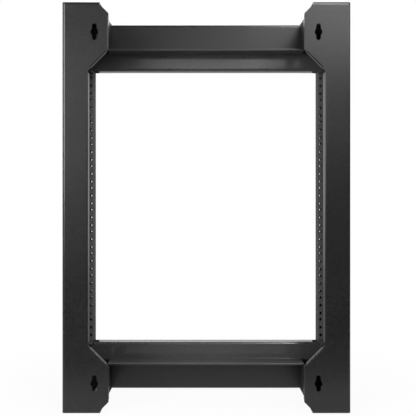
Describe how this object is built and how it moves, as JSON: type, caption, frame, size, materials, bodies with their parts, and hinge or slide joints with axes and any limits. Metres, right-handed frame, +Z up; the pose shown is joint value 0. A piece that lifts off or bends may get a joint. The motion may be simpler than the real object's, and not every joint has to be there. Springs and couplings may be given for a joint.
{
  "type": "two post open frame wall rack",
  "caption": "Open frame equipment rack of folded black sheet steel: two posts with wall flanges, hole rails and folded cross bars round an open middle, hung from keyholes.",
  "frame": {"origin": "middle of the rack's base, on the floor plane under its lowest flanges", "axes": "+X to the right as seen from the wall side, +Y away from the wall into the room, +Z up"},
  "size_m": [0.524, 0.1524, 0.748],
  "materials": {
    "black_powder_coat": "black powder coat with a fine texture on sheet steel"
  },
  "bodies": {
    "root": {"left_post": "black_powder_coat", "right_post": "black_powder_coat", "left_rail": "black_powder_coat", "right_rail": "black_powder_coat", "top_channel": "black_powder_coat", "bottom_channel": "black_powder_coat", "top_pan": "black_powder_coat", "bottom_pan": "black_powder_coat", "top_left_gusset": "black_powder_coat", "top_right_gusset": "black_powder_coat", "bottom_left_gusset": "black_powder_coat", "bottom_right_gusset": "black_powder_coat", "top_left_tab": "black_powder_coat", "top_right_tab": "black_powder_coat", "bottom_left_tab": "black_powder_coat", "bottom_right_tab": "black_powder_coat"}
  },
  "joints": []
}
